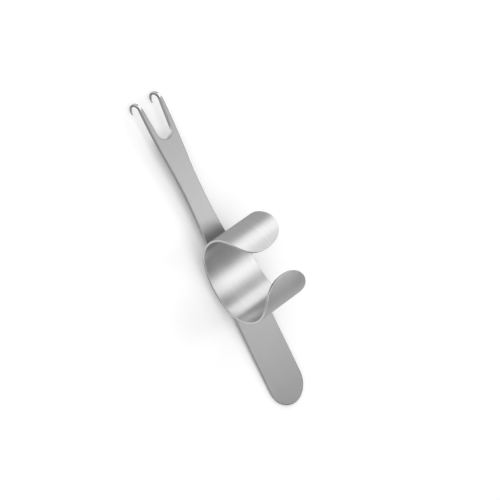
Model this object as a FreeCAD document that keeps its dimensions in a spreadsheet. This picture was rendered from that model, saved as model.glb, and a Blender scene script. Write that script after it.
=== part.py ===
import FreeCAD, Part
import Sketcher
import math
import os

# Nasal retractor in satin stainless steel.
# A flat blade carries a rounded plate at one end and a two-pronged hook fork at the other.
# An open oval finger ring is brazed across the front of the blade.
#
# Frame, in millimetres: the origin is on the blade's back face under the middle of the ring.
# +X runs along the blade towards the rounded plate end, the hooks are at -X.
# +Y runs across the blade. +Z is the front, the side that carries the ring.

doc = FreeCAD.newDocument("nasal_retractor")
V = FreeCAD.Vector

# Driving sizes: name, value, meaning.
SIZES = [
    ("blade_thickness", 0.9, "sheet thickness of the blade"),
    ("plate_width", 10.5, "width of the parallel plate"),
    ("plate_reach", 33.5, "ring centre to the plate's rounded end"),
    ("shoulder_reach", 6.0, "ring centre to where the plate becomes parallel"),
    ("waist_width", 5.54, "narrowest width of the blade"),
    ("waist_reach", 19.5, "ring centre to the waist"),
    ("waist_radius", 105.0, "radius of the waist's concave edges"),
    ("fork_width", 7.6, "width over both prongs where the hooks begin"),
    ("hook_reach", 42.4, "ring centre to where the hooks begin"),
    ("fork_slot_radius", 2.3, "radius of the slot's round bottom"),
    ("fork_slot_reach", 33.85, "ring centre to the slot's bottom"),
    ("fork_slot_mouth", 5.9, "slot width where the hooks begin"),
    ("edge_rounding", 0.18, "rounding of the blade's edges"),
    ("hook_radius", 1.58, "radius of the hook's centre line"),
    ("hook_root", 0.4, "length of the hook's root inside the prong"),
    ("hook_step", 0.02, "how far the polished bend lies inside the prong's faces"),
    ("hook_point_length", 0.45, "straight end of the hook after its half turn"),
    ("hook_point_size", 0.22, "width and thickness at the hook's point"),
    ("hook_taper_power", 1.3, "how late the hook tapers along its length"),
    ("ring_inner_width", 20.0, "finger opening along the blade"),
    ("ring_inner_height", 14.3, "finger opening away from the blade"),
    ("ring_sheet", 0.5, "sheet thickness of the ring"),
    ("ring_side_radius", 6.8, "radius of the ring's sides, middle of the sheet"),
    ("ring_band_width", 14.8, "width of the ring's band across the blade"),
    ("mouth_plate_side", 3.0, "ring centre to the end on the plate's side"),
    ("mouth_fork_side", 3.8, "ring centre to the end on the fork's side"),
    ("end_length", 7.2, "length over which the band's ends are rounded off"),
    ("end_fullness", 2.3, "exponent of the rounded ends, 2 is an ellipse"),
    ("seat_depth", 0.35, "depth of the ring's seat in the blade"),
    ("braze_gap", 0.02, "gap between ring and seat"),
    ("braze_start_gap", 0.05, "thickness of the filler at its inner edge"),
    ("braze_toe", 5.35, "ring centre to the filler's outer edge on the blade"),
    ("braze_climb", 4.95, "ring centre to the filler's upper edge on the ring"),
    ("braze_plate_length", 9.6, "filler length across the plate"),
    ("braze_fork_length", 7.0, "filler length across the blade on the fork's side"),
]
sheet = doc.addObject("Spreadsheet::Sheet", "sizes")
D = {}
for row, (name, value, meaning) in enumerate(SIZES, start=1):
    sheet.set("A%d" % row, meaning)
    sheet.set("B%d" % row, str(value))
    sheet.setAlias("B%d" % row, name)
    D[name] = value
doc.recompute()


# Helpers for bodies and sketches

def make_body(name):
    """A body with its own label, at the frame's origin."""
    body = doc.addObject("PartDesign::Body", name)
    body.Label = name
    return body


def plane_of(body, role):
    """One of the body's own origin planes, found by its role."""
    for feature in body.Origin.OriginFeatures:
        if feature.Role == role:
            return feature
    raise RuntimeError("no plane " + role)


def make_sketch(body, name, role, offset=None):
    """A sketch on one of the body's origin planes, with an optional offset."""
    sketch = body.newObject("Sketcher::SketchObject", name)
    sketch.AttachmentSupport = [(plane_of(body, role), "")]
    sketch.MapMode = "FlatFace"
    if offset is not None:
        sketch.AttachmentOffset = offset
    return sketch


def bind(sketch, index, expression):
    """Ties one sketch dimension to the sheet."""
    sketch.setExpression("Constraints[%d]" % index, expression)


def dimension(sketch, constraint, expression):
    """Adds a dimension and ties it to the sheet."""
    index = sketch.addConstraint(constraint)
    bind(sketch, index, expression)
    return index


def sketch_arc(centre, radius, start, end):
    """An arc drawn anticlockwise from start to end, both angles in radians."""
    circle = Part.Circle(V(centre[0], centre[1], 0), V(0, 0, 1), radius)
    return Part.ArcOfCircle(circle, start, end)


def sketch_line(a, b):
    return Part.LineSegment(V(a[0], a[1], 0), V(b[0], b[1], 0))


def solved(sketch):
    """The sketch must solve without conflicts."""
    doc.recompute()
    if sketch.solve() != 0:
        raise RuntimeError("sketch does not solve: " + sketch.Name)


def volume_of(body):
    doc.recompute()
    return body.Shape.Volume


# The blade: outline, rounded edges, seat for the ring and two hooks

blade = make_body("blade")
half_plate = D["plate_width"] / 2
half_waist = D["waist_width"] / 2
half_fork = D["fork_width"] / 2
half_mouth = D["fork_slot_mouth"] / 2


def s_curve(run, rise, radius_first):
    """Angle and second radius of two tangent arcs with parallel ends."""
    turn = 2 * math.atan2(rise, run)
    radius_second = run / math.sin(turn) - radius_first
    return turn, radius_second


fork_turn, fork_arc = s_curve(D["hook_reach"] - D["waist_reach"], half_fork - half_waist, D["waist_radius"])
plate_turn, plate_arc = s_curve(
    D["shoulder_reach"] + D["waist_reach"], half_plate - half_waist, D["waist_radius"])
waist_centre = half_waist + D["waist_radius"]
end_centre = D["plate_reach"] - half_plate
slot_centre = -(D["fork_slot_reach"] + D["fork_slot_radius"])

# The slot's side is the tangent from the prong's inner corner to the slot's round bottom.
side_run = -D["hook_reach"] - slot_centre
side_length = math.hypot(side_run, half_mouth)
side_angle = math.atan2(half_mouth, side_run)
touch_angle = side_angle - math.acos(D["fork_slot_radius"] / side_length)
touch = (
    slot_centre + D["fork_slot_radius"] * math.cos(touch_angle),
    D["fork_slot_radius"] * math.sin(touch_angle))

outline = make_sketch(blade, "blade_outline", "XY_Plane")
up = math.pi / 2
# Upper edge, from the prong's end to the plate's rounded end
prong_end = outline.addGeometry(sketch_line((-D["hook_reach"], half_mouth), (-D["hook_reach"], half_fork)))
fork_edge = outline.addGeometry(sketch_arc(
    (-D["hook_reach"], half_fork - fork_arc), fork_arc, up - fork_turn, up))
waist_edge = outline.addGeometry(sketch_arc(
    (-D["waist_reach"], waist_centre), D["waist_radius"], -up - fork_turn, -up + plate_turn))
shoulder = outline.addGeometry(sketch_arc(
    (D["shoulder_reach"], half_plate - plate_arc), plate_arc, up, up + plate_turn))
plate_edge = outline.addGeometry(sketch_line((D["shoulder_reach"], half_plate), (end_centre, half_plate)))
plate_end = outline.addGeometry(sketch_arc((end_centre, 0), half_plate, -up, up))
# Lower edge, the same seen in the blade's centre line
plate_edge_low = outline.addGeometry(sketch_line((end_centre, -half_plate), (D["shoulder_reach"], -half_plate)))
shoulder_low = outline.addGeometry(sketch_arc(
    (D["shoulder_reach"], plate_arc - half_plate), plate_arc, -up - plate_turn, -up))
waist_edge_low = outline.addGeometry(sketch_arc(
    (-D["waist_reach"], -waist_centre), D["waist_radius"], up - plate_turn, up + fork_turn))
fork_edge_low = outline.addGeometry(sketch_arc(
    (-D["hook_reach"], fork_arc - half_fork), fork_arc, -up, -up + fork_turn))
prong_end_low = outline.addGeometry(sketch_line((-D["hook_reach"], -half_fork), (-D["hook_reach"], -half_mouth)))
# The slot between the prongs
slot_side_low = outline.addGeometry(sketch_line((-D["hook_reach"], -half_mouth), (touch[0], -touch[1])))
slot_round = outline.addGeometry(sketch_arc((slot_centre, 0), D["fork_slot_radius"], -touch_angle, touch_angle))
slot_side = outline.addGeometry(sketch_line(touch, (-D["hook_reach"], half_mouth)))

C = Sketcher.Constraint
for constraint in (
    C("Coincident", slot_side, 2, prong_end, 1),
    C("Coincident", prong_end, 2, fork_edge, 2),
    C("Tangent", fork_edge, 1, waist_edge, 1),
    C("Tangent", waist_edge, 2, shoulder, 2),
    C("Tangent", shoulder, 1, plate_edge, 1),
    C("Coincident", plate_edge, 2, plate_end, 2),
    C("Coincident", plate_end, 1, plate_edge_low, 1),
    C("Coincident", plate_edge_low, 2, shoulder_low, 2),
    C("Coincident", shoulder_low, 1, waist_edge_low, 1),
    C("Coincident", waist_edge_low, 2, fork_edge_low, 2),
    C("Coincident", fork_edge_low, 1, prong_end_low, 1),
    C("Coincident", prong_end_low, 2, slot_side_low, 1),
    C("Coincident", slot_side_low, 2, slot_round, 1),
    C("Tangent", slot_round, 2, slot_side, 1),
    C("Vertical", prong_end),
    C("Horizontal", plate_edge),
    C("Vertical", fork_edge, 2, fork_edge, 3),
    C("Vertical", plate_end, 2, plate_end, 3),
    C("Symmetric", prong_end, 1, prong_end_low, 2, -1),
    C("Symmetric", prong_end, 2, prong_end_low, 1, -1),
    C("Symmetric", fork_edge, 1, fork_edge_low, 2, -1),
    C("Symmetric", waist_edge, 2, waist_edge_low, 1, -1),
    C("Symmetric", plate_edge, 1, plate_edge_low, 2, -1),
    C("Symmetric", plate_edge, 2, plate_edge_low, 1, -1),
    C("Symmetric", slot_round, 2, slot_round, 1, -1),
    C("Equal", fork_edge, fork_edge_low),
    C("Equal", waist_edge, waist_edge_low),
    C("Equal", shoulder, shoulder_low),
):
    outline.addConstraint(constraint)
dimension(outline, C("DistanceX", prong_end, 1, -1, 1, D["hook_reach"]), "sizes.hook_reach")
dimension(outline, C("DistanceY", prong_end_low, 1, prong_end, 2, D["fork_width"]), "sizes.fork_width")
dimension(outline, C("DistanceY", prong_end_low, 2, prong_end, 1, D["fork_slot_mouth"]), "sizes.fork_slot_mouth")
dimension(outline, C("Radius", waist_edge, D["waist_radius"]), "sizes.waist_radius")
dimension(outline, C("DistanceX", waist_edge, 3, -1, 1, D["waist_reach"]), "sizes.waist_reach")
dimension(outline, C("DistanceY", -1, 1, waist_edge, 3, waist_centre), "sizes.waist_width / 2 + sizes.waist_radius")
dimension(outline, C("DistanceX", -1, 1, shoulder, 1, D["shoulder_reach"]), "sizes.shoulder_reach")
dimension(outline, C("Radius", plate_end, half_plate), "sizes.plate_width / 2")
dimension(outline, C("DistanceX", -1, 1, plate_end, 3, end_centre), "sizes.plate_reach - sizes.plate_width / 2")
dimension(outline, C("Radius", slot_round, D["fork_slot_radius"]), "sizes.fork_slot_radius")
dimension(
    outline, C("DistanceX", slot_round, 3, -1, 1, -slot_centre), "sizes.fork_slot_reach + sizes.fork_slot_radius")
solved(outline)

strip = blade.newObject("PartDesign::Pad", "strip")
strip.Profile = outline
strip.setExpression("Length", "sizes.blade_thickness")
doc.recompute()

# Every edge of the two broad faces is rounded, except the short ones where the hooks join.
edges = []
for number, edge in enumerate(strip.Shape.Edges, start=1):
    box = edge.BoundBox
    flat = box.ZLength < 1e-6
    at_hook = box.XMax < -D["hook_reach"] + 1e-4
    if flat and not at_hook:
        edges.append("Edge%d" % number)
strip_rounding = blade.newObject("PartDesign::Fillet", "strip_rounding")
strip_rounding.Base = (strip, edges)
strip_rounding.setExpression("Radius", "sizes.edge_rounding")
doc.recompute()

# Shape of the ring, in the middle of its sheet: four tangent arcs
half_ring = (D["ring_inner_width"] + D["ring_sheet"]) / 2
half_height = (D["ring_inner_height"] + D["ring_sheet"]) / 2
side_radius = D["ring_side_radius"]
side_centre = half_ring - side_radius
base_radius = (side_centre ** 2 + half_height ** 2 - side_radius ** 2) / (2 * (half_height - side_radius))
base_drop = base_radius - half_height
join_angle = math.atan2(side_centre, base_drop)
half_sheet = D["ring_sheet"] / 2
ring_foot = D["blade_thickness"] - D["seat_depth"] + D["braze_gap"]
ring_centre = ring_foot + half_sheet + half_height
base_centre = ring_foot + half_sheet + base_radius
BASE_RADIUS = (
    "(((sizes.ring_inner_width + sizes.ring_sheet) / 2 - sizes.ring_side_radius) ^ 2"
    " + ((sizes.ring_inner_height + sizes.ring_sheet) / 2) ^ 2 - sizes.ring_side_radius ^ 2)"
    " / (sizes.ring_inner_height + sizes.ring_sheet - 2 * sizes.ring_side_radius)")
FOOT = "(sizes.blade_thickness - sizes.seat_depth + sizes.braze_gap)"

# The ring's seat: a shallow saddle across the front face, with the ring's own base radius
seat_radius = base_radius + half_sheet + D["braze_gap"]
seat_top = D["blade_thickness"] + 0.4
seat_half = math.sqrt(seat_radius ** 2 - (base_centre - seat_top) ** 2)
seat_sketch = make_sketch(blade, "seat_shape", "XZ_Plane")
seat_angle = math.atan2(seat_half, base_centre - seat_top)
seat_arc = seat_sketch.addGeometry(sketch_arc((0, base_centre), seat_radius, -up - seat_angle, -up + seat_angle))
seat_lid = seat_sketch.addGeometry(sketch_line((seat_half, seat_top), (-seat_half, seat_top)))
seat_sketch.addConstraint(C("Coincident", seat_arc, 2, seat_lid, 1))
seat_sketch.addConstraint(C("Coincident", seat_lid, 2, seat_arc, 1))
seat_sketch.addConstraint(C("PointOnObject", seat_arc, 3, -2))
seat_sketch.addConstraint(C("Horizontal", seat_lid))
dimension(
    seat_sketch, C("Radius", seat_arc, seat_radius), BASE_RADIUS + " + sizes.ring_sheet / 2 + sizes.braze_gap")
dimension(
    seat_sketch, C("DistanceY", -1, 1, seat_arc, 3, base_centre),
    BASE_RADIUS + " + sizes.ring_sheet / 2 + " + FOOT)
dimension(
    seat_sketch, C("DistanceY", -1, 1, seat_lid, 1, seat_top), "sizes.blade_thickness + 0.4")
solved(seat_sketch)
before = volume_of(blade)
seat = blade.newObject("PartDesign::Pocket", "ring_seat")
seat.Profile = seat_sketch
seat.SideType = "Symmetric"
seat.setExpression("Length", "sizes.plate_width * 2")
if volume_of(blade) > before - 0.5:
    raise RuntimeError("the seat cut nothing")

# One hook: a root inside the prong, a half turn to the back and a short straight point.
# Each section is a rounded rectangle.
prong_middle = (half_fork + half_mouth) / 2
prong_width = half_fork - half_mouth
hook_centre = D["blade_thickness"] / 2 - D["hook_radius"]
arc_length = math.pi * D["hook_radius"]
full_length = arc_length + D["hook_point_length"]


def rounded_rectangle(sketch, width, height, corner, width_rule, height_rule, corner_rule):
    """A rectangle with round corners about the sketch's origin."""
    a, b = width / 2, height / 2
    bottom = sketch.addGeometry(sketch_line((-a + corner, -b), (a - corner, -b)))
    right = sketch.addGeometry(sketch_line((a, -b + corner), (a, b - corner)))
    top = sketch.addGeometry(sketch_line((a - corner, b), (-a + corner, b)))
    left = sketch.addGeometry(sketch_line((-a, b - corner), (-a, -b + corner)))
    c1 = sketch.addGeometry(sketch_arc((a - corner, -b + corner), corner, -up, 0))
    c2 = sketch.addGeometry(sketch_arc((a - corner, b - corner), corner, 0, up))
    c3 = sketch.addGeometry(sketch_arc((-a + corner, b - corner), corner, up, 2 * up))
    c4 = sketch.addGeometry(sketch_arc((-a + corner, -b + corner), corner, 2 * up, 3 * up))
    for line_a, arc, line_b in ((bottom, c1, right), (right, c2, top), (top, c3, left), (left, c4, bottom)):
        sketch.addConstraint(C("Tangent", line_a, 2, arc, 1))
        sketch.addConstraint(C("Tangent", arc, 2, line_b, 1))
    sketch.addConstraint(C("Horizontal", bottom))
    sketch.addConstraint(C("Vertical", right))
    sketch.addConstraint(C("Horizontal", top))
    sketch.addConstraint(C("Vertical", left))
    sketch.addConstraint(C("Equal", c1, c2))
    sketch.addConstraint(C("Equal", c1, c3))
    sketch.addConstraint(C("Equal", c1, c4))
    sketch.addConstraint(C("Symmetric", c1, 3, c3, 3, -1, 1))
    dimension(sketch, C("Radius", c1, corner), corner_rule)
    dimension(sketch, C("DistanceX", left, 1, right, 1, width), width_rule)
    dimension(sketch, C("DistanceY", bottom, 1, top, 1, height), height_rule)


sections = []
for step in range(-1, 8):
    # The first section is inside the prong, seven stand 30 degrees apart round the bend
    # and the last one is at the point.
    turn = math.radians(min(max(30 * step, 0), 180))
    length = D["hook_radius"] * turn if step < 7 else full_length
    straight = {-1: D["hook_root"], 7: D["hook_point_length"]}.get(step, 0.0)
    x = -D["hook_reach"] - D["hook_radius"] * math.sin(turn) + straight
    z = hook_centre + D["hook_radius"] * math.cos(turn)
    part_done = length / full_length
    shrink = part_done ** D["hook_taper_power"]
    width_full = prong_width - 2 * D["hook_step"]
    height_full = D["blade_thickness"] - 2 * D["hook_step"]
    width = width_full + (D["hook_point_size"] - width_full) * shrink
    height = height_full + (D["hook_point_size"] - height_full) * shrink
    corner = D["edge_rounding"] * (1 - 0.7 * shrink)
    # On this plane the sketch's x is +Y, its y is +Z and its normal is +X; the turn is about its x.
    place = FreeCAD.Placement(V(prong_middle, z, x), FreeCAD.Rotation(V(1, 0, 0), -math.degrees(turn)))
    section = make_sketch(blade, "hook_section_%d" % (step + 1), "YZ_Plane", place)
    rule = "%s + (sizes.hook_point_size - %s) * " + repr(round(shrink, 6))
    wide = "((sizes.fork_width - sizes.fork_slot_mouth) / 2 - 2 * sizes.hook_step)"
    thick = "(sizes.blade_thickness - 2 * sizes.hook_step)"
    rounded_rectangle(
        section, width, height, corner, rule % (wide, wide), rule % (thick, thick),
        "sizes.edge_rounding * " + repr(round(1 - 0.7 * shrink, 6)))
    solved(section)
    sections.append(section)
before = volume_of(blade)
hook = blade.newObject("PartDesign::AdditiveLoft", "hook")
hook.Profile = sections[0]
hook.Sections = sections[1:]
hook.Ruled = False
one_hook = volume_of(blade) - before
if one_hook < 0.5:
    raise RuntimeError("the hook added nothing")
both_hooks = blade.newObject("PartDesign::Mirrored", "both_hooks")
both_hooks.Originals = [hook]
both_hooks.MirrorPlane = (plane_of(blade, "XZ_Plane"), [""])
blade.Tip = both_hooks
if volume_of(blade) < before + 1.9 * one_hook:
    raise RuntimeError("the second hook is missing")

# The finger ring: an oval tube of thin sheet, opened at the top with two rounded ends

finger_ring = make_body("finger_ring")
ring_place = FreeCAD.Placement(V(0, ring_centre, 0), FreeCAD.Rotation())
profile = make_sketch(finger_ring, "ring_profile", "XZ_Plane", ring_place)
profile.setExpression(
    "AttachmentOffset.Base.y", FOOT + " + sizes.ring_inner_height / 2 + sizes.ring_sheet")
turn_side = math.pi - 2 * join_angle
ovals = []
for grow, rule in ((half_sheet, " + sizes.ring_sheet / 2"), (-half_sheet, " - sizes.ring_sheet / 2")):
    rs = side_radius + grow
    rb = base_radius + grow
    low = profile.addGeometry(sketch_arc((0, base_drop), rb, -up - join_angle, -up + join_angle))
    right = profile.addGeometry(sketch_arc((side_centre, 0), rs, -turn_side / 2, turn_side / 2))
    high = profile.addGeometry(sketch_arc((0, -base_drop), rb, up - join_angle, up + join_angle))
    left = profile.addGeometry(sketch_arc(
        (-side_centre, 0), rs, math.pi - turn_side / 2, math.pi + turn_side / 2))
    for arc_a, arc_b in ((low, right), (right, high), (high, left), (left, low)):
        profile.addConstraint(C("Tangent", arc_a, 2, arc_b, 1))
    profile.addConstraint(C("PointOnObject", high, 3, -2))
    profile.addConstraint(C("PointOnObject", right, 3, -1))
    profile.addConstraint(C("PointOnObject", left, 3, -1))
    profile.addConstraint(C("Equal", right, left))
    profile.addConstraint(C("Equal", low, high))
    dimension(profile, C("Radius", right, rs), "sizes.ring_side_radius" + rule)
    dimension(profile, C("Radius", high, rb), BASE_RADIUS + rule)
    dimension(
        profile, C("DistanceX", -1, 1, right, 3, side_centre),
        "(sizes.ring_inner_width + sizes.ring_sheet) / 2 - sizes.ring_side_radius")
solved(profile)
band = finger_ring.newObject("PartDesign::Pad", "band")
band.Profile = profile
band.SideType = "Symmetric"
band.setExpression("Length", "sizes.ring_band_width")


def along_band(arc):
    """Distance from the top of the oval to x, measured along the middle of the sheet."""
    top_arc = base_radius * join_angle
    if arc < top_arc:
        return base_radius * math.sin(arc / base_radius)
    return side_centre + side_radius * math.sin(join_angle + (arc - top_arc) / side_radius)


def end_outline(mouth, steps=8):
    """Rounded end of the band seen from above: x grows from the tip to where the full width begins."""
    start = base_radius * math.asin(mouth / base_radius)
    points = []
    for step in range(steps + 1):
        angle = up * step / steps
        back = D["end_length"] * (1 - math.cos(angle) ** (2 / D["end_fullness"]))
        y = D["ring_band_width"] / 2 * math.sin(angle) ** (2 / D["end_fullness"])
        points.append((along_band(start + back), y))
    return points


# The cut takes out the mouth between the two ends and everything beside them.
mouth_place = FreeCAD.Placement(V(0, 0, ring_centre), FreeCAD.Rotation())
mouth = make_sketch(finger_ring, "mouth_shape", "XY_Plane", mouth_place)
mouth.setExpression("AttachmentOffset.Base.z", FOOT + " + sizes.ring_inner_height / 2 + sizes.ring_sheet")
half_band = D["ring_band_width"] / 2
side_margin = half_band + 1.0
curves = {}
for name, reach, sign in (("plate", D["mouth_plate_side"], 1), ("fork", D["mouth_fork_side"], -1)):
    half = end_outline(reach)
    points = [V(sign * x, -y, 0) for x, y in reversed(half)] + [V(sign * x, y, 0) for x, y in half[1:]]
    spline = Part.BSplineCurve()
    spline.interpolate(Points=points, InitialTangent=V(-sign, 0, 0), FinalTangent=V(sign, 0, 0))
    curves[name] = (mouth.addGeometry(spline), half[-1][0] * sign)
plate_curve, plate_x = curves["plate"]
fork_curve, fork_x = curves["fork"]
walls = [
    sketch_line((plate_x, half_band), (plate_x, side_margin)),
    sketch_line((plate_x, side_margin), (fork_x, side_margin)),
    sketch_line((fork_x, side_margin), (fork_x, half_band)),
    sketch_line((fork_x, -half_band), (fork_x, -side_margin)),
    sketch_line((fork_x, -side_margin), (plate_x, -side_margin)),
    sketch_line((plate_x, -side_margin), (plate_x, -half_band)),
]
numbers = [mouth.addGeometry(wall) for wall in walls]
for number in [plate_curve, fork_curve] + numbers:
    mouth.addConstraint(C("Block", number))
doc.recompute()
before = volume_of(finger_ring)
opening = finger_ring.newObject("PartDesign::Pocket", "mouth_cut")
opening.Profile = mouth
opening.Reversed = True
opening.setExpression("Length", "sizes.ring_inner_height")
if volume_of(finger_ring) > before - 10:
    raise RuntimeError("the mouth cut nothing")

# The braze: filler metal in the wedge on both sides of the seat

braze_radius = base_radius + half_sheet
inner_top = D["blade_thickness"] + D["braze_start_gap"]
inner_x = math.sqrt(braze_radius ** 2 - (base_centre - inner_top) ** 2)
climb_z = base_centre - math.sqrt(braze_radius ** 2 - D["braze_climb"] ** 2)


def make_braze(name, side, length_name):
    """One fillet of filler metal, side is +1 towards the plate and -1 towards the fork."""
    body = make_body(name)
    shape = make_sketch(body, name + "_shape", "XZ_Plane")
    top = D["blade_thickness"]
    toe = (side * D["braze_toe"], top)
    crest = (side * D["braze_climb"], climb_z)
    inner = (side * inner_x, inner_top)
    root = (side * inner_x, top)
    # The free surface is hollow: its arc bows in towards the joint.
    middle = V((toe[0] + crest[0]) / 2 - side * 0.07, (toe[1] + crest[1]) / 2 - 0.05, 0)
    free = Part.Arc(V(toe[0], toe[1], 0), middle, V(crest[0], crest[1], 0))
    under = Part.Arc(
        V(crest[0], crest[1], 0),
        V(side * math.sqrt(braze_radius ** 2 - (base_centre - (climb_z + inner_top) / 2) ** 2),
          (climb_z + inner_top) / 2, 0),
        V(inner[0], inner[1], 0))
    for curve in (sketch_line(root, toe), free, under, sketch_line(inner, root)):
        number = shape.addGeometry(curve)
        shape.addConstraint(C("Block", number))
    doc.recompute()
    filler = body.newObject("PartDesign::Pad", name + "_filler")
    filler.Profile = shape
    filler.SideType = "Symmetric"
    filler.setExpression("Length", "sizes." + length_name)
    return body


braze_plate_side = make_braze("braze_plate_side", 1, "braze_plate_length")
braze_fork_side = make_braze("braze_fork_side", -1, "braze_fork_length")
doc.recompute()

# Checks, then one file per piece

for item in doc.Objects:
    for word in item.State:
        if word in ("Invalid", "Error"):
            raise RuntimeError("failed: " + item.Name)
pieces = [blade, finger_ring, braze_plate_side, braze_fork_side]
for piece in pieces:
    shape = piece.Shape
    if shape.isNull() or not shape.isValid() or len(shape.Solids) != 1:
        raise RuntimeError("bad shape: " + piece.Label)
os.makedirs("parts", exist_ok=True)
for piece in pieces:
    piece.Shape.exportStep(os.path.join("parts", piece.Label + ".step"))
    box = piece.Shape.BoundBox
    print(
        piece.Label, "volume", round(piece.Shape.Volume, 3),
        "x", round(box.XMin, 3), round(box.XMax, 3),
        "y", round(box.YMin, 3), round(box.YMax, 3),
        "z", round(box.ZMin, 3), round(box.ZMax, 3))
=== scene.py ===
import math

import bpy
from mathutils import Matrix, Vector


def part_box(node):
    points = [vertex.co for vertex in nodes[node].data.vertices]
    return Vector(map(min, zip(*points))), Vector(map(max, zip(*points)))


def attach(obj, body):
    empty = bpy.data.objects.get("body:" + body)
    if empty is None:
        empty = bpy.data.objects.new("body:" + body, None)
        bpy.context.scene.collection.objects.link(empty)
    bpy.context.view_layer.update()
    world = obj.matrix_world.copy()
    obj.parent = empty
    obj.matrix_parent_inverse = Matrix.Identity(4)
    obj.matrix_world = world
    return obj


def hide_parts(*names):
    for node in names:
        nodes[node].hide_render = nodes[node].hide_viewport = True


# Nasal retractor in satin stainless steel, lying on its back on a pale studio floor.
# All lengths are in metres. +X runs along the blade to the rounded plate end,
# +Y across the blade and +Z to the front, the side with the finger ring.

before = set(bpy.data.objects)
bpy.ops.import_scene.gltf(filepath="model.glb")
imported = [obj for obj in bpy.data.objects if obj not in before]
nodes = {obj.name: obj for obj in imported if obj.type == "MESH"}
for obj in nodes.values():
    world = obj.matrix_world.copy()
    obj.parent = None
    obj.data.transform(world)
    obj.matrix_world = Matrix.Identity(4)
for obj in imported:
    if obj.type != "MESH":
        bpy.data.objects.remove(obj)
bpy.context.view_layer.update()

MM = 0.001

# The finger ring's sheet, as it is bent
RING_SHEET = 0.5 * MM
RING_SIDE_RADIUS = 6.8 * MM
MOUTH_PLATE_SIDE = 3.0 * MM
MOUTH_FORK_SIDE = 3.8 * MM
END_LENGTH = 7.2 * MM
END_FULLNESS = 2.3
RIM_ROUNDING = 0.1 * MM
RIM_MARGIN = 0.05 * MM

# Into how many steps the sheet is divided: along the band, along a rounded end,
# across the band and round a rim
BAND_STEPS = 72
END_STEPS = 36
ACROSS_STEPS = 12
RIM_STEPS = 5

# Brush lines and soft patches that all three metals have; the noise seldom leaves its span
NOISE_SPAN = (0.3, 0.7)
NOISE_ROUGHNESS = 0.55
LINE_DETAIL = 3.0
LINE_ROUGHNESS = 0.03
PATCH_FINENESS = 160.0
PATCH_DETAIL = 5.0
PATCH_TONE = 0.03
PATCH_ROUGHNESS = 0.05
GRAIN_STRENGTH = 0.25

# The blade's tones are factors on its satin steel, and so is the hooks' polish.
# Each span is a stretch of X or of one part of the normal over which a tone sets in.
HOOK_REACH = 42.4 * MM
HOOK_BORDER = (-HOOK_REACH - 0.05 * MM, -HOOK_REACH + 0.05 * MM)
# Painted highlight on the hooks' broad faces and painted shade on their sides; their polish is the
# lower roughness
HOOK_PAINTED_HIGHLIGHT = 2.3
HOOK_SIDE_PAINTED_SHADE = 0.8
HOOK_SIDES = (0.4, 0.8)
HOOK_POLISH = 0.7
# Painted shade, darker towards the fork
FORK_PAINTED_SHADE = 0.88
FORK_FADE = (-33.0 * MM, -16.0 * MM)
# Painted shade on the blade's sides, turning to a painted highlight on the slot's end, which faces the
# hooks
SIDE_PAINTED_SHADE = 0.8
BROAD_FACES = (0.2, 0.7)
SLOT_END_PAINTED_HIGHLIGHT = 2.4
TOWARDS_FORK = (-0.6, -0.05)

# The ring's tones and roughness are factors too. Its spans are heights, or lengths
# that tell the outside, the inside and the rims apart.
RING_MIDDLE = 8.4 * MM
RING_GLOSS_STRETCH = 0.5
OUTSIDE_ROUGHNESS = 1.3
OUTSIDE = (-1.0 * MM, 1.0 * MM)
# Painted highlight on the ring's outside, growing with height
RING_PAINTED_HIGHLIGHT = 1.24
HIGHLIGHT_FACES = (1.0 * MM, 4.0 * MM)
HIGHLIGHT_HEIGHTS = (5.0 * MM, 9.5 * MM)
# Painted shade on the ring's rims, low near the floor and high at the top
RIM_PAINTED_SHADE = 0.45
OFF_THE_RIM = (1.0 * MM, 3.0 * MM)
LOW_RIM = (1.5 * MM, 2.6 * MM)
HIGH_RIM = (12.2 * MM, 14.4 * MM)

# The floor lies just under the blade; a hook's bend is lowest a little way behind its front.
FLOOR_SIZE = 4.0
FLOOR_GAP = 0.05 * MM
FLOOR_TONES = (0.93, 0.95)
FLOOR_MOTTLE = 20.0
FLOOR_DETAIL = 4.0
FLOOR_ROUGHNESS = 0.9
FLOOR_GLOW = 0.12
HOOK_BEND_INSET = 1.2 * MM

# The studio's soft boxes: upright ones on an arc behind the object, and larger ones farther off
ARC_DISTANCE = 0.35
ARC_DEPTH = 0.644
ARC_BOX_HEIGHT = 0.22
BOX_DISTANCE = 0.8

# How bright the room is, and how soft the changes between its parts are
ROOM_ABOVE = 0.15
ROOM_BELOW_FRONT = 0.9
ROOM_BELOW_FORK = 0.42
ROOM_BELOW_PLATE = 0.52
HORIZON = (-0.1, 0.1)
FRONT_TO_BACK = (-0.2, 0.2)
FORK_TO_PLATE = (-0.3, 0.3)

# The camera, measured from the photograph; angles in degrees, lens and sensor in millimetres
CAMERA_AZIMUTH = -17.05
CAMERA_ELEVATION = 47.73
CAMERA_ROLL = 77.04
CAMERA_DISTANCE = 611.0 * MM
CAMERA_AIM = Vector((-2.817, 4.567, 4.118)) * MM
CAMERA_LENS = 195.46
CAMERA_SENSOR = 36.0


# Small helpers for node materials

def add_node(tree, kind, **settings):
    """A node of one kind; a setting is one of its properties or the value of an input."""
    node = tree.nodes.new(kind)
    for name, value in settings.items():
        if hasattr(node, name):
            setattr(node, name, value)
        else:
            node.inputs[name.replace("_", " ")].default_value = value
    return node


def feed(tree, value, target):
    """Links a value to an input, or sets the input where the value is a plain number."""
    if isinstance(value, bpy.types.NodeSocket):
        tree.links.new(value, target)
    else:
        target.default_value = value


def calculated(tree, operation, first, second=0.0):
    """The result of one operation on two values or plain numbers."""
    node = add_node(tree, "ShaderNodeMath", operation=operation)
    feed(tree, first, node.inputs[0])
    feed(tree, second, node.inputs[1])
    return node.outputs["Value"]


def product(tree, first, second):
    """Two values or plain numbers multiplied."""
    return calculated(tree, "MULTIPLY", first, second)


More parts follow.
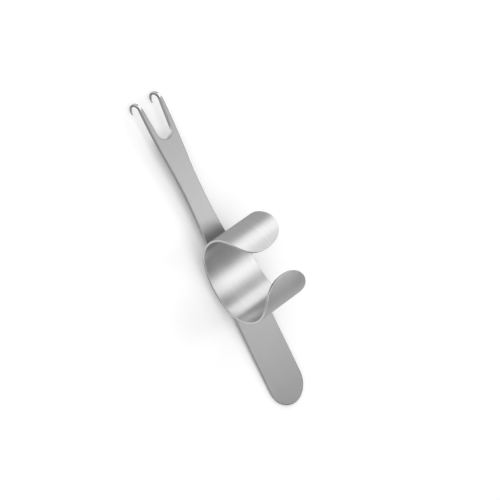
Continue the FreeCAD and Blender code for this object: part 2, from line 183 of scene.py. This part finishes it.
def ranged(tree, value, low, high, span=(0.0, 1.0)):
    """The value carried over from the span to low and high, which may be values too."""
    node = add_node(tree, "ShaderNodeMapRange", From_Min=span[0], From_Max=span[1])
    feed(tree, low, node.inputs["To Min"])
    feed(tree, high, node.inputs["To Max"])
    feed(tree, value, node.inputs["Value"])
    return node.outputs["Result"]


def grey(tree, value):
    """One number as a grey colour."""
    node = add_node(tree, "ShaderNodeCombineColor")
    for channel in ("Red", "Green", "Blue"):
        feed(tree, value, node.inputs[channel])
    return node.outputs["Color"]


def mapped_noise(tree, stretch, fineness, detail):
    """Noise in the object's own coordinates, drawn out where the stretch is below one."""
    coordinates = add_node(tree, "ShaderNodeTexCoord")
    mapping = add_node(tree, "ShaderNodeMapping")
    mapping.inputs["Scale"].default_value = stretch
    noise = add_node(
        tree, "ShaderNodeTexNoise", Scale=fineness, Detail=detail, Roughness=NOISE_ROUGHNESS)
    feed(tree, coordinates.outputs["Object"], mapping.inputs["Vector"])
    feed(tree, mapping.outputs["Vector"], noise.inputs["Vector"])
    return noise.outputs["Fac"]


def parts_of(tree, output):
    """X, Y and Z of one output of the texture coordinates, such as the place or the normal."""
    coordinates = add_node(tree, "ShaderNodeTexCoord")
    parts = add_node(tree, "ShaderNodeSeparateXYZ")
    feed(tree, coordinates.outputs[output], parts.inputs["Vector"])
    return parts.outputs


# The three metals

class Metal:
    """Satin metal, with fine brush lines along one direction and soft patches of wear.

    Its tone, roughness and grain may be changed from place to place until it is finished.
    """

    def __init__(self, name, brush, fineness, streak, bright, rough, grain_depth):
        self.material = bpy.data.materials.new(name)
        self.material.use_nodes = True
        self.tree = self.material.node_tree
        self.shader = self.tree.nodes["Principled BSDF"]
        self.shader.inputs["Metallic"].default_value = 1.0
        self.grain_depth = grain_depth
        lines = mapped_noise(self.tree, brush, fineness, LINE_DETAIL)
        patches = mapped_noise(self.tree, (1.0, 1.0, 1.0), PATCH_FINENESS, PATCH_DETAIL)
        self.tone = self.varied(lines, bright, streak)
        self.scale_tone(self.varied(patches, 1.0, PATCH_TONE))
        self.roughness = self.varied(lines, rough, LINE_ROUGHNESS)
        self.scale_roughness(self.varied(patches, 1.0, PATCH_ROUGHNESS))
        self.grain = ranged(self.tree, lines, 0.0, 1.0, NOISE_SPAN)

    def varied(self, noise, middle, share):
        """A value that follows the noise, up to that share above or below the middle."""
        return ranged(self.tree, noise, middle * (1 - share), middle * (1 + share), NOISE_SPAN)

    def scale_tone(self, factor):
        self.tone = product(self.tree, self.tone, factor)

    def scale_roughness(self, factor):
        self.roughness = product(self.tree, self.roughness, factor)

    def scale_grain(self, factor):
        self.grain = product(self.tree, self.grain, factor)

    def finished(self):
        """The material, once tone, roughness and grain are connected to its shader."""
        bump = add_node(
            self.tree, "ShaderNodeBump", Strength=GRAIN_STRENGTH, Distance=self.grain_depth)
        feed(self.tree, grey(self.tree, self.tone), self.shader.inputs["Base Color"])
        feed(self.tree, self.roughness, self.shader.inputs["Roughness"])
        feed(self.tree, self.grain, bump.inputs["Height"])
        feed(self.tree, bump.outputs["Normal"], self.shader.inputs["Normal"])
        return self.material


def blade_finish():
    """Satin faces, painted shade on the sides and towards the fork, a painted highlight on the slot's
    end, and polished hooks with a painted highlight on their broad faces and painted shade on their
    sides.
    """
    metal = Metal(
        "blade_steel", brush=(0.08, 1.0, 1.0), fineness=2200.0, streak=0.025,
        bright=0.41, rough=0.36, grain_depth=0.002 * MM)
    tree = metal.tree
    place = parts_of(tree, "Object")
    facing = parts_of(tree, "Normal")
    upright = calculated(tree, "ABSOLUTE", facing["Z"])
    sideways = calculated(tree, "ABSOLUTE", facing["Y"])
    # The sides get painted shade, except the slot's end, which faces the hooks and gets a painted
    # highlight.
    side_shade_and_highlight = ranged(tree, facing["X"], SLOT_END_PAINTED_HIGHLIGHT, SIDE_PAINTED_SHADE, TOWARDS_FORK)
    metal.scale_tone(ranged(tree, upright, side_shade_and_highlight, 1.0, BROAD_FACES))
    # Painted shade, darker towards the fork
    metal.scale_tone(ranged(tree, place["X"], FORK_PAINTED_SHADE, 1.0, FORK_FADE))
    # One on the satin strip and zero on the hooks
    satin = ranged(tree, place["X"], 0.0, 1.0, HOOK_BORDER)
    # Painted highlight on the hooks' broad faces, painted shade on their sides
    hook_highlight_and_shade = ranged(tree, sideways, HOOK_PAINTED_HIGHLIGHT, HOOK_SIDE_PAINTED_SHADE, HOOK_SIDES)
    metal.scale_tone(ranged(tree, satin, hook_highlight_and_shade, 1.0))
    metal.scale_roughness(ranged(tree, satin, HOOK_POLISH, 1.0))
    metal.scale_grain(satin)
    return metal.finished()


def ring_finish():
    """Brushed round the band, rougher outside, with a painted highlight on its upper outside and
    painted shade on the rims low and high.
    """
    metal = Metal(
        "ring_steel", brush=(0.05, 1.0, 0.05), fineness=1500.0, streak=0.04,
        bright=0.60, rough=0.29, grain_depth=0.0004 * MM)
    tree = metal.tree
    place = parts_of(tree, "Object")
    facing = parts_of(tree, "Normal")
    # The place along the normal, seen from the ring's middle: above zero on the outside,
    # below zero on the inside and about zero on the rims
    from_middle = calculated(tree, "SUBTRACT", place["Z"], RING_MIDDLE)
    outwards = calculated(
        tree, "ADD", product(tree, place["X"], facing["X"]), product(tree, from_middle, facing["Z"]))
    # Painted shade on the rims, low near the floor and high at the top
    on_rim = ranged(tree, calculated(tree, "ABSOLUTE", outwards), 1.0, 0.0, OFF_THE_RIM)
    low = ranged(tree, place["Z"], 1.0, 0.0, LOW_RIM)
    high = ranged(tree, place["Z"], 0.0, 1.0, HIGH_RIM)
    rim_shade = product(tree, on_rim, calculated(tree, "ADD", low, high))
    metal.scale_tone(ranged(tree, rim_shade, 1.0, RIM_PAINTED_SHADE))
    # Painted highlight on the outside, brighter higher up
    highlight = ranged(tree, place["Z"], 1.0, RING_PAINTED_HIGHLIGHT, HIGHLIGHT_HEIGHTS)
    metal.scale_tone(ranged(tree, outwards, 1.0, highlight, HIGHLIGHT_FACES))
    metal.scale_roughness(ranged(tree, outwards, 1.0, OUTSIDE_ROUGHNESS, OUTSIDE))
    # The brush marks run round the Y axis and stretch the gloss along it.
    metal.shader.inputs["Anisotropic"].default_value = RING_GLOSS_STRETCH
    around = add_node(tree, "ShaderNodeTangent", direction_type="RADIAL", axis="Y")
    feed(tree, around.outputs["Tangent"], metal.shader.inputs["Tangent"])
    return metal.finished()


def braze_finish():
    """Filler metal that flowed and was wiped smooth."""
    metal = Metal(
        "braze_metal", brush=(1.0, 1.0, 1.0), fineness=2500.0, streak=0.03,
        bright=0.80, rough=0.26, grain_depth=0.01 * MM)
    return metal.finished()


def dress(obj, material):
    """Gives all of the object's faces one material."""
    obj.data.materials.clear()
    obj.data.materials.append(material)


def mesh_object(name, vertices, faces):
    """A new mesh object in the scene."""
    mesh = bpy.data.meshes.new(name)
    mesh.from_pydata(vertices, [], faces)
    made = bpy.data.objects.new(name, mesh)
    bpy.context.scene.collection.objects.link(made)
    return made


# The finger ring: one bent sheet with rounded rims, in place of the CAD node.
# Its middle surface is an oval of four arcs, two flat ones and two tight ones at the sides.

ring_low, ring_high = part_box("finger_ring")
HALF_SHEET = RING_SHEET / 2
HALF_RING = (ring_high.x - ring_low.x) / 2 - HALF_SHEET
HALF_BAND = (ring_high.y - ring_low.y) / 2
RING_FOOT = ring_low.z + HALF_SHEET
SIDE_CENTRE = HALF_RING - RING_SIDE_RADIUS
HALVINGS = 60


def oval(half_height):
    """Radius of the oval's flat arcs, and the angle at which they meet its sides."""
    radius = SIDE_CENTRE ** 2 + half_height ** 2 - RING_SIDE_RADIUS ** 2
    radius /= 2 * (half_height - RING_SIDE_RADIUS)
    return radius, math.atan2(SIDE_CENTRE, radius - half_height)


def fitted_height():
    """Half height with which the plate side's end reaches as high as the CAD ring does."""
    # Just over the sides' radius, at which the flat arcs would be straight
    low = RING_SIDE_RADIUS * 1.01
    high = HALF_RING
    for _ in range(HALVINGS):
        middle = (low + high) / 2
        radius = oval(middle)[0]
        end_top = RING_FOOT + 2 * middle - radius + radius * math.cos(MOUTH_PLATE_SIDE / radius)
        if end_top + HALF_SHEET < ring_high.z:
            low = middle
        else:
            high = middle
    return (low + high) / 2


HALF_HEIGHT = fitted_height()
FLAT_RADIUS, JOIN_ANGLE = oval(HALF_HEIGHT)
FLAT_DROP = FLAT_RADIUS - HALF_HEIGHT
RING_CENTRE = RING_FOOT + HALF_HEIGHT
# Lengths along the sheet: half a flat arc, a side's arc, and from the oval's top to its foot
FLAT_RUN = FLAT_RADIUS * JOIN_ANGLE
SIDE_RUN = RING_SIDE_RADIUS * (math.pi - 2 * JOIN_ANGLE)
HALF_ROUND = 2 * FLAT_RUN + SIDE_RUN


def oval_point(run, lift):
    """x and z at a run along the sheet from the oval's top, and a lift outwards.

    The run is above zero towards the plate and below zero towards the fork.
    """
    distance = abs(run)
    flat = FLAT_RADIUS + lift
    tight = RING_SIDE_RADIUS + lift
    if distance < FLAT_RUN:
        angle = distance / FLAT_RADIUS
        x = flat * math.sin(angle)
        z = flat * math.cos(angle) - FLAT_DROP
    elif distance < FLAT_RUN + SIDE_RUN:
        angle = JOIN_ANGLE + (distance - FLAT_RUN) / RING_SIDE_RADIUS
        x = SIDE_CENTRE + tight * math.sin(angle)
        z = tight * math.cos(angle)
    else:
        angle = math.pi - JOIN_ANGLE + (distance - FLAT_RUN - SIDE_RUN) / FLAT_RADIUS
        x = flat * math.sin(angle)
        z = flat * math.cos(angle) + FLAT_DROP
    return math.copysign(x, run), RING_CENTRE + z


def end_edge():
    """The rounded end of the flat sheet, as distances from its tip and half widths."""
    points = []
    for step in range(END_STEPS + 1):
        angle = math.pi / 2 * step / END_STEPS
        inwards = END_LENGTH * (1 - math.cos(angle) ** (2 / END_FULLNESS))
        points.append((inwards, HALF_BAND * math.sin(angle) ** (2 / END_FULLNESS)))
    return points


def band_outline():
    """Edge of the flat sheet on the +Y side, with its outward normals.

    Distances along the sheet start at the oval's top, on the fork's side of the mouth,
    and run round the foot to the plate's side.
    """
    first = FLAT_RADIUS * math.asin(MOUTH_FORK_SIDE / FLAT_RADIUS)
    last = 2 * HALF_ROUND - FLAT_RADIUS * math.asin(MOUTH_PLATE_SIDE / FLAT_RADIUS)
    straight = last - first - 2 * END_LENGTH
    end = end_edge()
    points = [(first + inwards, width) for inwards, width in end]
    for step in range(1, BAND_STEPS):
        points.append((first + END_LENGTH + straight * step / BAND_STEPS, HALF_BAND))
    points += [(last - inwards, width) for inwards, width in reversed(end)]
    normals = [Vector((-1.0, 0.0))]
    for before, after in zip(points, points[2:]):
        normals.append(Vector((before[1] - after[1], after[0] - before[0])).normalized())
    normals.append(Vector((1.0, 0.0)))
    return [(s, y, normal) for (s, y), normal in zip(points, normals)]


def rim_profile():
    """Quarter round of a rim, as insets from the sheet's edge and heights over its middle."""
    profile = []
    for step in range(RIM_STEPS + 1):
        angle = math.pi / 2 * step / RIM_STEPS
        inset = RIM_ROUNDING * (1 - math.cos(angle))
        profile.append((inset, HALF_SHEET - RIM_ROUNDING + RIM_ROUNDING * math.sin(angle)))
    # One more row keeps the broad faces' shading flat up to the rim.
    profile.append((RIM_ROUNDING + RIM_MARGIN, HALF_SHEET))
    return profile


def rim_points(s, y, normal, profile):
    """The rim's profile at one point of the sheet's edge."""
    return [(s - normal.x * inset, y - normal.y * inset, height) for inset, height in profile]


def section(s, y, normal, profile):
    """One closed section of the sheet: rim, outer face, rim, and the same inside."""
    rim = rim_points(s, y, normal, profile)
    s_in, y_in = rim[-1][:2]
    face = [(s_in, y_in * (1 - 2 * step / ACROSS_STEPS)) for step in range(1, ACROSS_STEPS)]
    points = list(rim)
    points += [(a, b, HALF_SHEET) for a, b in face]
    points += [(a, -b, height) for a, b, height in reversed(rim)]
    points += [(a, -b, -height) for a, b, height in rim]
    points += [(a, -b, -HALF_SHEET) for a, b in face]
    points += [(a, b, -height) for a, b, height in reversed(rim)]
    return points


def tip_faces(loop, outer_tip, inner_tip):
    """Faces between the last section and the points in the middle that close the tip."""
    last = len(outer_tip) - 1
    half = len(loop) // 2
    faces = []
    for tip, side in ((outer_tip, loop[:half]), (inner_tip, loop[half:])):
        rim = side[:last + 1]
        face = side[last:last + ACROSS_STEPS + 1]
        far_rim = side[last + ACROSS_STEPS:]
        for step in range(last):
            faces.append((tip[step], tip[step + 1], rim[step + 1], rim[step]))
            faces.append((tip[last - step], tip[last - step - 1], far_rim[step + 1], far_rim[step]))
        for step in range(ACROSS_STEPS):
            faces.append((tip[last], face[step + 1], face[step]))
    faces.append((outer_tip[0], inner_tip[0], loop[half], loop[half - 1]))
    faces.append((inner_tip[0], outer_tip[0], loop[0], loop[-1]))
    return faces


def make_ring():
    """The bent sheet as one closed mesh with rounded rims."""
    vertices = []

    def bent(points):
        """Bends points of the flat sheet round the oval and returns their numbers."""
        numbers = range(len(vertices), len(vertices) + len(points))
        for s, y, lift in points:
            x, z = oval_point(-s if s <= HALF_ROUND else 2 * HALF_ROUND - s, lift)
            vertices.append((x, y, z))
        return list(numbers)

    outline = band_outline()
    profile = rim_profile()
    loops = [bent(section(s, y, normal, profile)) for s, y, normal in outline[1:-1]]
    faces = []
    for loop, following in zip(loops, loops[1:]):
        for step in range(len(loop)):
            beside = (step + 1) % len(loop)
            faces.append((following[step], following[beside], loop[beside], loop[step]))
    for loop, (s, y, normal), turned in ((loops[0], outline[0], True), (loops[-1], outline[-1], False)):
        rim = rim_points(s, y, normal, profile)
        outer_tip = bent(rim)
        inner_tip = bent([(a, b, -height) for a, b, height in rim])
        for face in tip_faces(loop, outer_tip, inner_tip):
            faces.append(face[::-1] if turned else face)
    ring = mesh_object("finger_ring_sheet", vertices, faces)
    ring.data.validate()
    ring.data.shade_smooth()
    return ring


blade_steel = blade_finish()
ring_steel = ring_finish()
braze_metal = braze_finish()

ring = make_ring()
dress(ring, ring_steel)
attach(ring, "root")
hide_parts("finger_ring")

dress(nodes["blade"], blade_steel)
dress(nodes["braze_plate_side"], braze_metal)
dress(nodes["braze_fork_side"], braze_metal)


# The floor leans by the small angle at which the hooks' bends and the plate's end both touch it.

blade_low, blade_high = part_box("blade")
LEAN = math.atan2(-blade_low.z, blade_high.x - blade_low.x - HOOK_BEND_INSET)


def make_floor():
    """A plain pale floor, much larger than the view, with a faint glow like a light table's."""
    half = FLOOR_SIZE / 2
    corners = [(-half, -half, 0.0), (half, -half, 0.0), (half, half, 0.0), (-half, half, 0.0)]
    floor = mesh_object("floor", corners, [(0, 1, 2, 3)])
    under_plate_end = Matrix.Translation((blade_high.x, 0.0, -FLOOR_GAP))
    floor.matrix_world = under_plate_end @ Matrix.Rotation(-LEAN, 4, "Y")
    floor.visible_glossy = False
    material = bpy.data.materials.new("pale_floor")
    material.use_nodes = True
    tree = material.node_tree
    shader = tree.nodes["Principled BSDF"]
    shader.inputs["Roughness"].default_value = FLOOR_ROUGHNESS
    shader.inputs["Emission Strength"].default_value = FLOOR_GLOW
    mottle = mapped_noise(tree, (1.0, 1.0, 1.0), FLOOR_MOTTLE, FLOOR_DETAIL)
    tone = ranged(tree, mottle, FLOOR_TONES[0], FLOOR_TONES[1], NOISE_SPAN)
    feed(tree, grey(tree, tone), shader.inputs["Base Color"])
    dress(floor, material)


make_floor()


# Studio light: three upright soft boxes on an arc behind the object, four larger ones
# over and in front of it, and a pale room that is brighter below than above

def soft_box(name, direction, distance, width, height, power):
    """A rectangular soft light in that direction from the object, facing it."""
    data = bpy.data.lights.new(name, "AREA")
    data.shape = "RECTANGLE"
    data.size = width
    data.size_y = height
    data.energy = power
    lamp = bpy.data.objects.new(name, data)
    facing = Vector(direction).normalized()
    upright = (Vector((0.0, 1.0, 0.0)) - facing * facing.y).normalized()
    sideways = upright.cross(facing)
    turn = Matrix((sideways, upright, facing)).transposed().to_4x4()
    lamp.matrix_world = Matrix.Translation(facing * distance) @ turn
    bpy.context.scene.collection.objects.link(lamp)


def arc_box(name, angle, width, power):
    """A box on the arc behind the object; the angle is 0 above it and grows towards the plate."""
    reach = math.sqrt(1 - ARC_DEPTH ** 2)
    turn = math.radians(angle)
    direction = (reach * math.sin(turn), ARC_DEPTH, reach * math.cos(turn))
    soft_box(name, direction, ARC_DISTANCE, width, ARC_BOX_HEIGHT, power)


def large_box(name, direction, side, power):
    """A square box, farther from the object than the arc's."""
    soft_box(name, direction, BOX_DISTANCE, side, side, power)


def make_room():
    """A pale room, bright below in front, less so below at the back, and dim above."""
    world = bpy.data.worlds.new("studio")
    bpy.context.scene.world = world
    world.use_nodes = True
    tree = world.node_tree
    towards = parts_of(tree, "Generated")
    below_back = ranged(tree, towards["X"], ROOM_BELOW_FORK, ROOM_BELOW_PLATE, FORK_TO_PLATE)
    below = ranged(tree, towards["Y"], ROOM_BELOW_FRONT, below_back, FRONT_TO_BACK)
    background = tree.nodes["Background"]
    brightness = ranged(tree, towards["Z"], below, ROOM_ABOVE, HORIZON)
    feed(tree, grey(tree, brightness), background.inputs["Color"])
    background.inputs["Strength"].default_value = 1.0


arc_box("light_fork", angle=-49.0, width=0.26, power=0.24)
arc_box("light_over", angle=9.0, width=0.13, power=0.165)
arc_box("light_plate", angle=60.0, width=0.26, power=0.036)
large_box("light_front_fork", direction=(-0.7, -0.5, 0.5), side=1.1, power=3.4)
large_box("light_front_plate", direction=(0.7, -0.5, 0.5), side=1.1, power=3.0)
large_box("light_front", direction=(0.0, -0.8, 0.6), side=0.7, power=0.8)
large_box("light_top", direction=(0.0, -0.1, 1.0), side=0.75, power=2.2)
make_room()
bpy.context.scene.view_settings.view_transform = "Standard"


# The camera stands where the photograph was taken from.

def make_camera():
    """The camera, turned about the line of sight by its roll."""
    azimuth = math.radians(CAMERA_AZIMUTH)
    elevation = math.radians(CAMERA_ELEVATION)
    roll = math.radians(CAMERA_ROLL)
    back = Vector((
        math.sin(azimuth) * math.cos(elevation),
        -math.cos(azimuth) * math.cos(elevation),
        math.sin(elevation)))
    level = Vector((math.cos(azimuth), math.sin(azimuth), 0.0))
    upward = back.cross(level)
    right = level * math.cos(roll) + upward * math.sin(roll)
    top = upward * math.cos(roll) - level * math.sin(roll)
    data = bpy.data.cameras.new("camera")
    data.lens = CAMERA_LENS
    data.sensor_width = CAMERA_SENSOR
    camera = bpy.data.objects.new("camera", data)
    turn = Matrix((right, top, back)).transposed().to_4x4()
    camera.matrix_world = Matrix.Translation(CAMERA_AIM + back * CAMERA_DISTANCE) @ turn
    bpy.context.scene.collection.objects.link(camera)
    return camera


bpy.context.scene.camera = make_camera()
